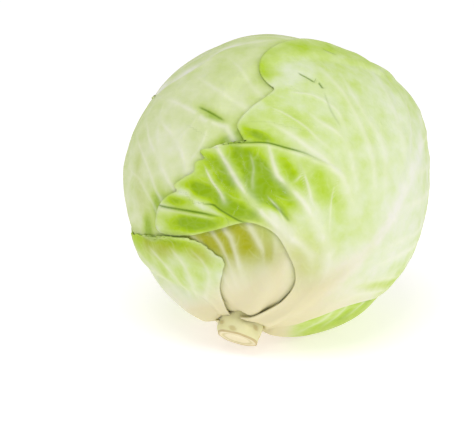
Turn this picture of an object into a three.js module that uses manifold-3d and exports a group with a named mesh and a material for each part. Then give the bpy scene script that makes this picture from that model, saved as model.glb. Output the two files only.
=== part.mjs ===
// A head of white cabbage, about 18 cm across, lying with its cut stalk low at the front.
// Millimetres, +Z up, -Y towards the front. The origin is the middle of the small flat spot it rests on.
//
// The head is a dense heart of packed inner leaves, the cut stalk, and six wrapper leaves. A wrapper leaf is
// laid out flat first, in degrees of the head's surface, and is then wrapped round the head over the leaves below it.

import * as THREE from "three";
import { mergeVertices } from "three/addons/utils/BufferGeometryUtils.js";
import ManifoldModule from "manifold-3d";

// Driving dimensions of the head
const HEART_RADIUS = 85;
const CENTRE_HEIGHT = 86.4;
const HEART_DETAIL = 8;
const STALK_TILT = 40; // degrees from straight down, towards the front
const STALK_TURN = -20; // degrees, towards the left

// The stalk: a short stub, cut square
const STALK_RADIUS = 13.5;
const STALK_END = 97; // from the centre of the head to the cut face
const STALK_ROOT = 68;
const SOCKET_CLEARANCE = 0.6;
const STALK_SIDES = 28;
const SCAR_DEPTH = 0.06; // share of the radius

// The wrapper leaves
const BLADE = 1.2;
const LAYER_GAP = 1.2;
const COLUMN_CROWDING = 1.2; // the grid's columns crowd towards the midrib
const RIB_HEIGHT = 0.7; // of the side ribs
const ROWS_PER_RIB = 3;
const MIDRIB_HEIGHT = 4.6; // at the leaf's foot
const MIDRIB_HALF_WIDTH = 6.5; // degrees, at the leaf's foot
const RIB_FAN = 0.25; // how far the side ribs lean towards the tip
const MARGIN_WAVE = 0.02; // share of the leaf's half width
const MARGIN_LIFT = 0.9;
const DRAPE_START = 3; // degrees past a lower leaf's edge, where the upper leaf starts to come down
const DRAPE_END = 14; // and where it has come down
const PUCKER = 0.8;

// The flat spot
const HEART_CLEARANCE = 2.4; // over the table, for the leaf between them

// Swellings and hollows of the whole head: the direction, how much, and how wide in degrees
const SWELLINGS = [
  { toward: [0.85, 0.16, 0.5], rise: 5.4, spread: 20 },
  { toward: [0.42, 0.27, 0.87], rise: -3.6, spread: 19 },
  { toward: [0.75, 0.1, -0.62], rise: 1.8, spread: 24 },
  { toward: [-0.93, 0.11, 0.36], rise: -2.4, spread: 13 },
  { toward: [-0.95, -0.1, -0.28], rise: -3.2, spread: 20 },
  { toward: [0.2, 0.95, 0.1], rise: 1.6, spread: 34 },
  { toward: [-0.3, 0.75, -0.5], rise: -1.2, spread: 28 },
];

const radians = THREE.MathUtils.degToRad;
const WELD = 1e-4;
const smooth = (value, low, high) => THREE.MathUtils.smoothstep(value, low, high);
const vector = (x, y, z) => new THREE.Vector3(x, y, z);

const CENTRE = vector(0, 0, CENTRE_HEIGHT);
const STALK_AXIS = vector(
  Math.sin(radians(STALK_TILT)) * Math.sin(radians(STALK_TURN)),
  -Math.sin(radians(STALK_TILT)) * Math.cos(radians(STALK_TURN)),
  -Math.cos(radians(STALK_TILT)),
);
const EAST = vector(1, 0, 0).addScaledVector(STALK_AXIS, -STALK_AXIS.x).normalize();
const FRONT = STALK_AXIS.clone().cross(EAST).normalize();

// A direction from the head's centre: the turn round the stalk's axis, 0 at the front, and the angle from the stalk
function headDirection(turn, fromStalk) {
  const side = FRONT.clone().multiplyScalar(Math.cos(radians(turn)));
  side.addScaledVector(EAST, Math.sin(radians(turn)));
  return STALK_AXIS.clone()
    .multiplyScalar(Math.cos(radians(fromStalk)))
    .addScaledVector(side, Math.sin(radians(fromStalk)));
}

// The flat layout of one leaf touches the head at its middle, 85 degrees from the stalk
const LAYOUT_MIDDLE = 85;

function makeLayout(turn) {
  const middle = headDirection(turn, LAYOUT_MIDDLE);
  const along = headDirection(turn, LAYOUT_MIDDLE + 90);
  const across = along.clone().cross(middle);
  return { middle, along, across };
}

function flatToDirection(layout, x, y) {
  const reach = Math.hypot(x, y);
  if (reach < 1e-9) return layout.middle.clone();
  const tangent = layout.across.clone().multiplyScalar(x / reach);
  tangent.addScaledVector(layout.along, y / reach);
  return layout.middle
    .clone()
    .multiplyScalar(Math.cos(radians(reach)))
    .addScaledVector(tangent, Math.sin(radians(reach)));
}

function directionToFlat(layout, direction) {
  const x = direction.dot(layout.across);
  const y = direction.dot(layout.along);
  const reach = Math.acos(THREE.MathUtils.clamp(direction.dot(layout.middle), -1, 1));
  const scale = THREE.MathUtils.radToDeg(reach) / Math.max(Math.hypot(x, y), 1e-9);
  return { x: x * scale, y: y * scale };
}

// Each leaf: its turn round the stalk, its grid, and its outline in flat degrees from foot to tip. A row of the
// outline holds the left margin, the midrib and the right margin. Leaves are listed from the innermost outwards.
const LEAVES = [
  {
    name: "leaf_back_left",
    slot: "pale_leaf",
    turn: -80,
    columns: 20,
    rows: 24,
    seed: 1.3,
    outline: [
      [-7, -74, 0, -74, 7, -74],
      [-15, -62, 0, -60, 15, -60],
      [-34, -50, 0, -46, 32, -48],
      [-50, -34, 0, -32, 44, -34],
      [-57, -16, 1, -18, 50, -18],
      [-60, 2, 2, -3, 53, 0],
      [-60, 20, 4, 13, 56, 18],
      [-58, 38, 6, 29, 61, 34],
      [-54, 55, 9, 46, 68, 50],
      [-46, 72, 13, 64, 75, 68],
      [-34, 88, 18, 84, 78, 88],
      [-16, 102, 22, 106, 62, 104],
    ],
  },
  {
    name: "leaf_under",
    slot: "green_leaf",
    turn: -163,
    columns: 18,
    rows: 20,
    seed: 2.1,
    outline: [
      [-8, -74, 0, -74, 8, -74],
      [-34, -66, 0, -60, 16, -60],
      [-58, -50, 0, -46, 30, -46],
      [-64, -32, 0, -32, 44, -32],
      [-66, -14, 0, -18, 54, -16],
      [-64, 4, 2, -2, 60, 2],
      [-60, 20, 4, 14, 61, 20],
      [-56, 37, 4, 31, 57, 36],
      [-50, 54, 4, 48, 46, 51],
      [-40, 71, 3, 65, 32, 66],
      [-22, 86, 0, 83, 14, 80],
    ],
  },
  {
    name: "leaf_back_right",
    slot: "green_leaf",
    turn: 116,
    columns: 18,
    rows: 20,
    seed: 3.7,
    outline: [
      [-7, -74, 0, -74, 7, -74],
      [-18, -62, 0, -60, 8, -60],
      [-36, -52, 0, -46, 11, -46],
      [-52, -42, 0, -33, 20, -34],
      [-62, -25, 0, -20, 38, -20],
      [-66, -6, 0, -6, 54, -4],
      [-64, 12, -2, 10, 62, 14],
      [-58, 28, -4, 26, 62, 32],
      [-50, 46, -4, 43, 56, 50],
      [-40, 64, -3, 60, 46, 67],
      [-24, 80, -2, 79, 24, 82],
    ],
  },
  {
    name: "leaf_left",
    slot: "pale_leaf",
    turn: 15,
    columns: 26,
    rows: 27,
    seed: 4.2,
    outline: [
      [-7, -74, 0, -74, 7, -74],
      [-24, -68, 0, -60, 10, -60],
      [-52, -66, 1, -46, 16, -44],
      [-76, -58, 2, -34, 24, -32],
      [-92, -42, 3, -22, 30, -20],
      [-98, -22, 4, -8, 34, -6],
      [-97, 2, 5, 8, 36, 8],
      [-86, 21, 5, 22, 36, 24],
      [-64, 28, 4, 34, 32, 38],
      [-44, 41, 2, 46, 24, 50],
      [-20, 52, 0, 57, 14, 60],
    ],
  },
  {
    name: "leaf_right",
    slot: "green_leaf",
    turn: 50,
    columns: 26,
    rows: 30,
    seed: 5.9,
    outline: [
      [-7, -74, 0, -74, 7, -74],
      [-8, -64, 0, -66, 13, -67],
      [-11, -54, -1, -57, 14, -58],
      [-20, -44, -2, -49, 18, -48],
      [-34, -37, -2, -41, 27, -41],
      [-50, -45, -1, -33, 40, -34],
      [-66, -60, 1, -25, 50, -24],
      [-77, -49, 3, -17, 57, -13],
      [-74, -32, 5, -9, 61, -1],
      [-67, -12, 7, 0, 63, 12],
      [-61, 3, 9, 9, 62, 24],
      [-56, 18, 12, 19, 60, 36],
      [-59, 33, 15, 31, 56, 48],
      [-48, 49, 18, 44, 50, 60],
      [-31, 58, 22, 58, 42, 70],
      [-12, 66, 26, 72, 32, 80],
    ],
    // Half way to the left margin. There the leaf bends down into the lobe below its tear.
    leftBend: [
      [-3, -74],
      [-4, -65],
      [-5, -56],
      [-10, -47],
      [-17, -39],
      [-25, -32],
      [-34, -28],
      [-38, -21],
      [-38, -13],
      [-34, -4],
      [-29, 5],
      [-24, 15],
      [-21, 27],
      [-15, 40],
      [-7, 54],
      [4, 66],
    ],
    tear: { at: 0.6, rise: 2.4 },
  },
  {
    name: "leaf_torn",
    slot: "green_leaf",
    turn: -72,
    columns: 14,
    rows: 12,
    seed: 7.4,
    outline: [
      [-9, -74, 0, -74, 9, -74],
      [-21, -67, -1, -66, 24, -66],
      [-32, -58, -3, -57, 33, -56],
      [-40, -46, -6, -46, 30, -46],
      [-41, -34, -10, -36, 22, -39],
      [-32, -24, -14, -24, 7, -31],
    ],
  },
];

// A smooth curve through the rows' points, from foot to tip
function curveThrough(rows, first) {
  const points = rows.map((row) => vector(row[first], row[first + 1], 0));
  return new THREE.CatmullRomCurve3(points, false, "catmullrom", 0.5);
}

// The small waves of a leaf's margin, as a share of its half width
function marginWave(leaf, side, s) {
  const phase = leaf.seed * (side < 0 ? 1 : 2.3);
  const wave = Math.sin(23 * s + phase) + 0.6 * Math.sin(41 * s + 2 * phase);
  return MARGIN_WAVE * wave * smooth(s, 0.15, 0.4);
}

// The flat place of a leaf's own point: u runs -1 to 1 across it, v from foot to tip. The rows of equal v are the
// lines of the side ribs, which fan out from the midrib towards the tip.
function leafPoint(leaf, u, v) {
  const side = Math.abs(u);
  const bent = u < 0 && leaf.bend;
  const s = bent ? v : 1 - (1 - v) ** (1 + RIB_FAN * side);
  const spine = leaf.midrib.getPoint(s);
  const edge = (u < 0 ? leaf.left : leaf.right).getPoint(s);
  const reach = side * (1 + marginWave(leaf, u, s) * side ** 3);
  const place = spine.clone().lerp(edge, reach);
  if (!bent) return place;
  const sag = leaf.bend.getPoint(s).sub(spine.lerp(edge, 0.5));
  return place.addScaledVector(sag, 4 * reach * (1 - reach));
}

const OUTLINE_STEPS = 30;

function closedOutline(leaf) {
  const points = [];
  for (let i = 0; i <= OUTLINE_STEPS; i++) points.push(leafPoint(leaf, -1, i / OUTLINE_STEPS));
  points.push(leafPoint(leaf, 0, 1));
  for (let i = 0; i <= OUTLINE_STEPS; i++) points.push(leafPoint(leaf, 1, 1 - i / OUTLINE_STEPS));
  return points;
}

for (const leaf of LEAVES) {
  leaf.layout = makeLayout(leaf.turn);
  leaf.left = curveThrough(leaf.outline, 0);
  leaf.midrib = curveThrough(leaf.outline, 2);
  leaf.right = curveThrough(leaf.outline, 4);
  if (leaf.leftBend) leaf.bend = curveThrough(leaf.leftBend, 0);
  leaf.border = closedOutline(leaf);
  leaf.spine = leaf.midrib.getPoints(2 * leaf.outline.length);
}

function segmentDistance(x, y, a, b) {
  const dx = b.x - a.x;
  const dy = b.y - a.y;
  const length = dx * dx + dy * dy;
  const along = length > 0 ? THREE.MathUtils.clamp(((x - a.x) * dx + (y - a.y) * dy) / length, 0, 1) : 0;
  return { distance: Math.hypot(x - a.x - along * dx, y - a.y - along * dy), along };
}

// Degrees from a leaf's margin: positive inside the leaf, negative outside it
function marginDistance(leaf, x, y) {
  let inside = false;
  let nearest = Infinity;
  leaf.border.forEach((a, i) => {
    const b = leaf.border[(i + 1) % leaf.border.length];
    nearest = Math.min(nearest, segmentDistance(x, y, a, b).distance);
    if (a.y > y !== b.y > y && x < ((b.x - a.x) * (y - a.y)) / (b.y - a.y) + a.x) inside = !inside;
  });
  return inside ? nearest : -nearest;
}

// The midrib stands out as a rounded ridge, broad and high at the foot and fine at the tip
function midribRise(leaf, x, y) {
  let nearest = Infinity;
  let s = 0;
  for (let i = 0; i + 1 < leaf.spine.length; i++) {
    const found = segmentDistance(x, y, leaf.spine[i], leaf.spine[i + 1]);
    if (found.distance < nearest) {
      nearest = found.distance;
      s = (i + found.along) / (leaf.spine.length - 1);
    }
  }
  const width = MIDRIB_HALF_WIDTH * (1 - 0.6 * s ** 0.7);
  return MIDRIB_HEIGHT * (1 - s) ** 1.6 * Math.exp(-((nearest / width) ** 2));
}

// The heart's radius in a direction, with the head's swellings and the flat spot under it
function heartRadius(direction) {
  let radius = HEART_RADIUS;
  for (const { toward, rise, spread } of SWELLINGS) {
    const angle = THREE.MathUtils.radToDeg(direction.angleTo(vector(...toward)));
    radius += rise * Math.exp(-((angle / spread) ** 2));
  }
  return radius;
}

// The place over the head's centre at a radius, no lower than the floor given
function placeAbove(direction, radius, floor) {
  const place = CENTRE.clone().addScaledVector(direction, radius);
  place.z = Math.max(place.z, floor);
  return place;
}

// Shallow rolls and hollows of the leaves, never below the smooth surface
function pucker(direction, seed) {
  const { x, y, z } = direction;
  const rolls = Math.sin(9 * x + 5 * z + seed) * Math.sin(8 * y - 6 * z + 2 * seed);
  return PUCKER * (0.5 + 0.5 * rolls) * smooth(z, -0.9, -0.6);
}

// Height over the heart of each leaf's underside and top, up to and including leaf number last
function layersAt(direction, last) {
  const layers = [];
  for (let i = 0; i <= last; i++) {
    const { x, y } = directionToFlat(LEAVES[i].layout, direction);
    let under = LAYER_GAP;
    for (const lower of layers) under = Math.max(under, (lower.top + LAYER_GAP) * lower.cover);
    const inside = marginDistance(LEAVES[i], x, y);
    const top = under + BLADE + midribRise(LEAVES[i], x, y) + pucker(direction, LEAVES[i].seed);
    layers.push({ under, top, inside, cover: smooth(inside, -DRAPE_END, -DRAPE_START) });
  }
  return layers;
}

// How far a leaf is free of the leaves over it: 1 where it is bare, 0 where it is covered
function bareness(direction, index) {
  let bare = 1;
  for (const leaf of LEAVES.slice(index + 1)) {
    const { x, y } = directionToFlat(leaf.layout, direction);
    bare = Math.min(bare, 1 - smooth(marginDistance(leaf, x, y), -7, -1.5));
  }
  return bare;
}

// The side ribs run along every third row of the leaf's grid
function sideRib(leaf, u, v) {
  const crest = 0.5 + 0.5 * Math.cos((2 * Math.PI * leaf.rows * v) / ROWS_PER_RIB);
  return RIB_HEIGHT * crest ** 2 * smooth(Math.abs(u), 0.02, 0.15) * (1 - smooth(Math.abs(u), 0.7, 1));
}

// Along its tear, the lower part of the right-hand leaf lies over the upper part
function tearRise(leaf, u, v) {
  if (!leaf.tear || u > 0) return 0;
  const below = leaf.tear.at - v;
  return leaf.tear.rise * smooth(-u, 0.3, 0.75) * smooth(below, 0, 0.02) * (1 - smooth(below, 0.03, 0.2));
}

// One point of a leaf's outer or inner face
function leafPlace(leaf, index, u, v, outer) {
  const flat = leafPoint(leaf, u, v);
  const direction = flatToDirection(leaf.layout, flat.x, flat.y);
  const layer = layersAt(direction, index)[index];
  const bare = bareness(direction, index);
  const edgeLift = MARGIN_LIFT * bare * smooth(v, 0.2, 0.5) * smooth(Math.abs(u), 0.85, 1);
  const lift = (edgeLift + tearRise(leaf, u, v) * bare) * smooth(direction.z, -0.8, -0.5);
  const rib = sideRib(leaf, u, v) * bare * smooth(direction.z, -0.85, -0.6);
  const height = outer ? layer.top + lift + rib : layer.under + lift;
  return placeAbove(direction, heartRadius(direction) + height, outer ? 0 : BLADE);
}

// A leaf is a closed blade: an outer and an inner face split into the same triangles, and a wall round them
function makeLeaf(leaf, index) {
  const { columns, rows } = leaf;
  const width = columns + 1;
  const count = width * (rows + 1);
  const places = [];
  for (const outer of [true, false]) {
    for (let i = 0; i < count; i++) {
      const even = (2 * (i % width)) / columns - 1;
      const u = Math.sign(even) * Math.abs(even) ** COLUMN_CROWDING;
      places.push(leafPlace(leaf, index, u, Math.floor(i / width) / rows, outer));
    }
  }
  const faces = [];
  for (let row = 0; row < rows; row++) {
    for (let column = 0; column < columns; column++) {
      const a = row * width + column;
      const [b, c, d] = [a + 1, a + width + 1, a + width];
      const rising = places[a].distanceTo(places[c]) < places[b].distanceTo(places[d]);
      const halves = rising ? [[a, b, c], [a, c, d]] : [[a, b, d], [b, c, d]];
      for (const [p, q, r] of halves) faces.push(p, q, r, p + count, r + count, q + count);
    }
  }
  const rim = [];
  for (let i = 0; i < columns; i++) rim.push(i);
  for (let i = 0; i < rows; i++) rim.push(i * width + columns);
  for (let i = columns; i > 0; i--) rim.push(rows * width + i);
  for (let i = rows; i > 0; i--) rim.push(i * width);
  rim.forEach((p, i) => {
    const q = rim[(i + 1) % rim.length];
    faces.push(q, p, p + count, q, p + count, q + count);
  });
  const geometry = new THREE.BufferGeometry().setFromPoints(places);
  geometry.setIndex(faces);
  return geometry;
}

const wasm = await ManifoldModule();
wasm.setup();

function toSolid(geometry) {
  geometry.deleteAttribute("normal");
  geometry.deleteAttribute("uv");
  const welded = mergeVertices(geometry, WELD);
  const mesh = new wasm.Mesh({
    numProp: 3,
    vertProperties: new Float32Array(welded.getAttribute("position").array),
    triVerts: new Uint32Array(welded.index.array),
  });
  return new wasm.Manifold(mesh);
}

function toGeometry(solid) {
  const mesh = solid.getMesh();
  const geometry = new THREE.BufferGeometry();
  geometry.setAttribute("position", new THREE.BufferAttribute(mesh.vertProperties, 3));
  geometry.setIndex(new THREE.BufferAttribute(mesh.triVerts, 1));
  return geometry;
}

// A body turned round the stalk's axis, from points of radius and distance from the head's centre
function turnedOnStalk(profile) {
  const geometry = new THREE.LatheGeometry(
    profile.map(([radius, height]) => new THREE.Vector2(radius, height)),
    STALK_SIDES,
  );
  return geometry;
}

function placeOnStalk(geometry) {
  const turn = new THREE.Quaternion().setFromUnitVectors(vector(0, 1, 0), STALK_AXIS);
  geometry.applyQuaternion(turn);
  geometry.translate(CENTRE.x, CENTRE.y, CENTRE.z);
  return geometry;
}

function makeHeart() {
  const ball = new THREE.IcosahedronGeometry(1, HEART_DETAIL);
  const position = ball.getAttribute("position");
  for (let i = 0; i < position.count; i++) {
    const direction = new THREE.Vector3().fromBufferAttribute(position, i).normalize();
    const place = placeAbove(direction, heartRadius(direction), HEART_CLEARANCE);
    position.setXYZ(i, place.x, place.y, place.z);
  }
  const radius = STALK_RADIUS + SOCKET_CLEARANCE;
  const root = STALK_ROOT - SOCKET_CLEARANCE;
  const socket = placeOnStalk(
    turnedOnStalk([
      [0, root],
      [radius, root],
      [radius, STALK_END],
      [0, STALK_END],
    ]),
  );
  return toGeometry(toSolid(ball).subtract(toSolid(socket)));
}

// The stalk is a little narrower at its cut end, and the feet of the removed leaves leave low ridges round it
function makeStalk() {
  const geometry = turnedOnStalk([
    [0, STALK_ROOT],
    [STALK_RADIUS, STALK_ROOT],
    [STALK_RADIUS, STALK_ROOT + 15],
    [0.95 * STALK_RADIUS, STALK_END - 8],
    [0.96 * STALK_RADIUS, STALK_END - 5],
    [0.9 * STALK_RADIUS, STALK_END - 2],
    [0.84 * STALK_RADIUS, STALK_END],
    [0, STALK_END - 0.8],
  ]);
  const position = geometry.getAttribute("position");
  for (let i = 0; i < position.count; i++) {
    const x = position.getX(i);
    const y = position.getY(i);
    const z = position.getZ(i);
    const scar = Math.sin(3 * Math.atan2(z, x) + 0.7 * y);
    const shrink = 1 - SCAR_DEPTH * (0.5 + 0.5 * scar) * smooth(y, STALK_ROOT, STALK_ROOT + 15);
    position.setXYZ(i, x * shrink, y, z * shrink);
  }
  return toGeometry(toSolid(placeOnStalk(geometry)));
}

const FINISHES = {
  heart_leaf: { color: "#e1e4bd", roughness: 0.5 },
  stalk_flesh: { color: "#e6dfb4", roughness: 0.6 },
  pale_leaf: { color: "#d5dca6", roughness: 0.42 },
  green_leaf: { color: "#bcd57a", roughness: 0.42 },
};

const head = new THREE.Group();
head.name = "cabbage_head";

function addPiece(name, slot, geometry) {
  const material = new THREE.MeshStandardMaterial({ ...FINISHES[slot], metalness: 0 });
  material.name = slot;
  const mesh = new THREE.Mesh(geometry, material);
  mesh.name = name;
  head.add(mesh);
}

addPiece("heart", "heart_leaf", makeHeart());
addPiece("stalk", "stalk_flesh", makeStalk());
LEAVES.forEach((leaf, index) => addPiece(leaf.name, leaf.slot, makeLeaf(leaf, index)));

export default head;
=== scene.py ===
"""A head of white cabbage: heart, cut stalk and six wrapper leaves with veins, waves and tears.

A leaf is laid out flat first, in degrees of the head's surface, and then wrapped over the leaves
below it. Leaf sums are in millimetres and degrees, and the meshes are in metres.
"""

import math

import bmesh
import bpy
import numpy as np
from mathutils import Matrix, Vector


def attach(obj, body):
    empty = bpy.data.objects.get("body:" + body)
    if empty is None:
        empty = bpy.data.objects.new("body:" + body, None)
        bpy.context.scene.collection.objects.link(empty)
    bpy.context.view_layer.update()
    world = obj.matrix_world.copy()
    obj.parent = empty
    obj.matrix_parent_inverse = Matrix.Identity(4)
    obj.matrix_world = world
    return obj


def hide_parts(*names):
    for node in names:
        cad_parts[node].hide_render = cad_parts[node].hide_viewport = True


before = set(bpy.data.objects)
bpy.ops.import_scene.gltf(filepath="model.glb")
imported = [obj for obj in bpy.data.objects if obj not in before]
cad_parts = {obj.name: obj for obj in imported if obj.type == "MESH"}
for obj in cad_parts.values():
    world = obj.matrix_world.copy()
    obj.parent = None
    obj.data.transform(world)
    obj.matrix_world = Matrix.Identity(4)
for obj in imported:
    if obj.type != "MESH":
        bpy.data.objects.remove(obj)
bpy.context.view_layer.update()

MM = 0.001
CENTRE = np.array([0.0, 0.0, 86.4])
HEART_RADIUS = 87.1
HEART_DENT = 18  # how far the heart draws back from the stalk's root

# The stalk: degrees from straight down and round the head, then mm from the head's centre
STALK_TILT = 40
STALK_TURN = -20
STALK_RADIUS = 13.5
STALK_ROOT = 68
STALK_END = 98.5

# A leaf's blade and midrib in mm, and how much its rows fan out from the midrib
BLADE = 0.9
LAYER_GAP = 0.4
MIDRIB_HEIGHT = 4.4
MIDRIB_HALF_WIDTH = 6.5
RIB_FAN = 0.25

# Where a leaf comes down off the margin of the one below it, in degrees from that margin
DRAPE_START = 0.6
DRAPE_END = 9

# The flat layout: its middle in degrees from the stalk, and the mm in a degree of the surface
LAYOUT_MIDDLE = 85
DEGREE_MM = math.pi / 180 * 90

# A margin's waves: their height as a share of the half width, then turns, shift and share of each
MARGIN_WAVE = 0.012
RIPPLES = ((23, 1, 1), (41, 2, 0.6), (83, 3, 0.5))

# Fine relief in mm, and the half width of a slit in degrees
VEIN_RISE = 1.0
TWIG_RISE = 0.12
BLISTER_RISE = 0.45
PATCH_SINK = 0.8
CURL_RISE = 0.7
PUCKER_RISE = 0.8
SLIT_WIDTH = 1.2

# Veins: the steps of a path, the first share of it over which it grows in, and how many widths
# it keeps clear of the next one
VEIN_STEPS, VEIN_ROOT, VEINS_APART = 16, 0.4, 2.8
TWIG_STEPS, TWIG_ROOT, TWIGS_APART = 6, 0.3, 5.0
ROW_VEINS = 9  # on each side of a midrib, where a leaf doesn't list its veins
ROW_VEIN_LEAN = (0.05, 0.16)
ROW_VEIN_STRENGTH = (0.25, 0.45)
TWIG_WIDTH = 0.8
TWIG_START = 10  # degrees along a vein, as are the length and the gap
TWIG_LEAN = (38, 60)
TWIG_LENGTH = (6, 11)
TWIG_GAP = (4, 7)
NONE_NEAR = 9.0
NET_MM = 5.0  # the mesh of the finest veins

# Swellings and hollows of the whole head: the direction, the mm, and how wide in degrees
SWELLINGS = [
    ((0.85, 0.16, 0.5), 5.4, 20),
    ((0.42, 0.27, 0.87), -3.6, 19),
    ((0.75, 0.1, -0.62), 1.8, 24),
    ((-0.93, 0.11, 0.36), -2.4, 13),
    ((-0.95, -0.1, -0.28), -3.2, 20),
    ((0.2, 0.95, 0.1), 1.6, 34),
    ((-0.3, 0.75, -0.5), -1.2, 28),
    ((-0.2198, -0.604, -0.766), -5, 13),
]


def smooth(value, low, high):
    t = np.clip((value - low) / (high - low), 0, 1)
    return t * t * (3 - 2 * t)


def unit(v):
    v = np.asarray(v, float)
    return v / np.linalg.norm(v)


def curve_through(points, s):
    """A smooth curve through the points, at s from 0 to 1."""
    points = np.asarray(points, float)
    padded = np.vstack([2 * points[0] - points[1], points, 2 * points[-1] - points[-2]])
    place = np.clip(s, 0, 1) * (len(points) - 1)
    i = np.minimum(place.astype(int), len(points) - 2)
    w = (place - i)[..., None]
    before, here, there, after = (padded[i + k] for k in range(4))
    leave = 0.5 * (there - before)
    arrive = 0.5 * (after - here)
    cubic = 2 * (here - there) + leave + arrive
    square = 3 * (there - here) - 2 * leave - arrive
    return ((cubic * w + square) * w + leave) * w + here


def noise(x, y, size, seed):
    """Soft random hills from -1 to 1 with the given size across."""
    table = np.random.RandomState(seed).rand(64, 64) * 2 - 1
    x = x / size + 1000
    y = y / size + 1000
    i = np.floor(x).astype(int)
    j = np.floor(y).astype(int)
    a = smooth(x - i, 0, 1)
    b = smooth(y - j, 0, 1)
    low = table[i % 64, j % 64] * (1 - a) + table[(i + 1) % 64, j % 64] * a
    high = table[i % 64, (j + 1) % 64] * (1 - a) + table[(i + 1) % 64, (j + 1) % 64] * a
    return low * (1 - b) + high * b


def segment_distance(x, y, a, b):
    """Distance to the line from a to b, how far along it, and the side: 1 on its left."""
    dx, dy = b[0] - a[0], b[1] - a[1]
    length = max(dx * dx + dy * dy, 1e-9)
    t = np.clip(((x - a[0]) * dx + (y - a[1]) * dy) / length, 0, 1)
    rx, ry = x - a[0] - t * dx, y - a[1] - t * dy
    return np.hypot(rx, ry), t, np.sign(dx * ry - dy * rx)


TILT = math.radians(STALK_TILT)
TURN = math.radians(STALK_TURN)
STALK_AXIS = np.array(
    [math.sin(TILT) * math.sin(TURN), -math.sin(TILT) * math.cos(TURN), -math.cos(TILT)]
)
EAST = unit(np.array([1.0, 0, 0]) - STALK_AXIS * STALK_AXIS[0])
FRONT = np.cross(STALK_AXIS, EAST)


def head_direction(turn, from_stalk):
    turn = math.radians(turn)
    angle = math.radians(from_stalk)
    side = FRONT * math.cos(turn) + EAST * math.sin(turn)
    return STALK_AXIS * math.cos(angle) + side * math.sin(angle)


def to_direction(leaf, x, y):
    reach = np.maximum(np.hypot(x, y), 1e-9)
    tangent = (x / reach)[:, None] * leaf["across"] + (y / reach)[:, None] * leaf["along"]
    angle = np.radians(reach)[:, None]
    return np.cos(angle) * leaf["middle"] + np.sin(angle) * tangent


def to_flat(leaf, direction):
    x = direction @ leaf["across"]
    y = direction @ leaf["along"]
    reach = np.degrees(np.arccos(np.clip(direction @ leaf["middle"], -1, 1)))
    scale = reach / np.maximum(np.hypot(x, y), 1e-9)
    return x * scale, y * scale


def heart_radius(direction):
    radius = np.full(len(direction), HEART_RADIUS)
    for toward, rise, spread in SWELLINGS:
        angle = np.degrees(np.arccos(np.clip(direction @ unit(toward), -1, 1)))
        radius += rise * np.exp(-((angle / spread) ** 2))
    return radius


# From the innermost leaf outwards. Places are flat degrees, x across a leaf and y along it.
#   turn: where it grows round the stalk. grid, left_share: its mesh, and the part left of the rib
#   outline: rows from foot to tip, each with the left margin, the midrib and the right margin
#   left_margin, left_bend: finer rows of the left side, each with its outline row and a place
#   veins: width in mm, whiteness and path. root: the share of it over which they grow in
#   steps: rise in mm, how far it fades, how light the painted highlight on its raised edge is,
#     and a line of x, y and the darkness of the painted shadow in its crease, with the raised
#     side on its right
#   slits: depth in mm and a line of x, y and the darkness of the painted shadow in the slit
#   patches, golds: middle, two radii, turn and amount of a greener or golden oval; the golden
#     yellow-green is the leaf's own near its foot, deepened as painted shade in the hollows
#   green, foot, pale_midrib, shaded, rim: how green, how far the foot is cream, how pale the
#     midrib is, how dark the painted shade is under the next leaf, and how light the painted
#     highlight along the margin is
#   ragged, fray, curl: how torn the tip is, how frayed the margins are, and how much they lift

FOOT = (-10, -78.5, 0, -75.6, 10, -78.5)  # the row that most leaves grow from

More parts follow.
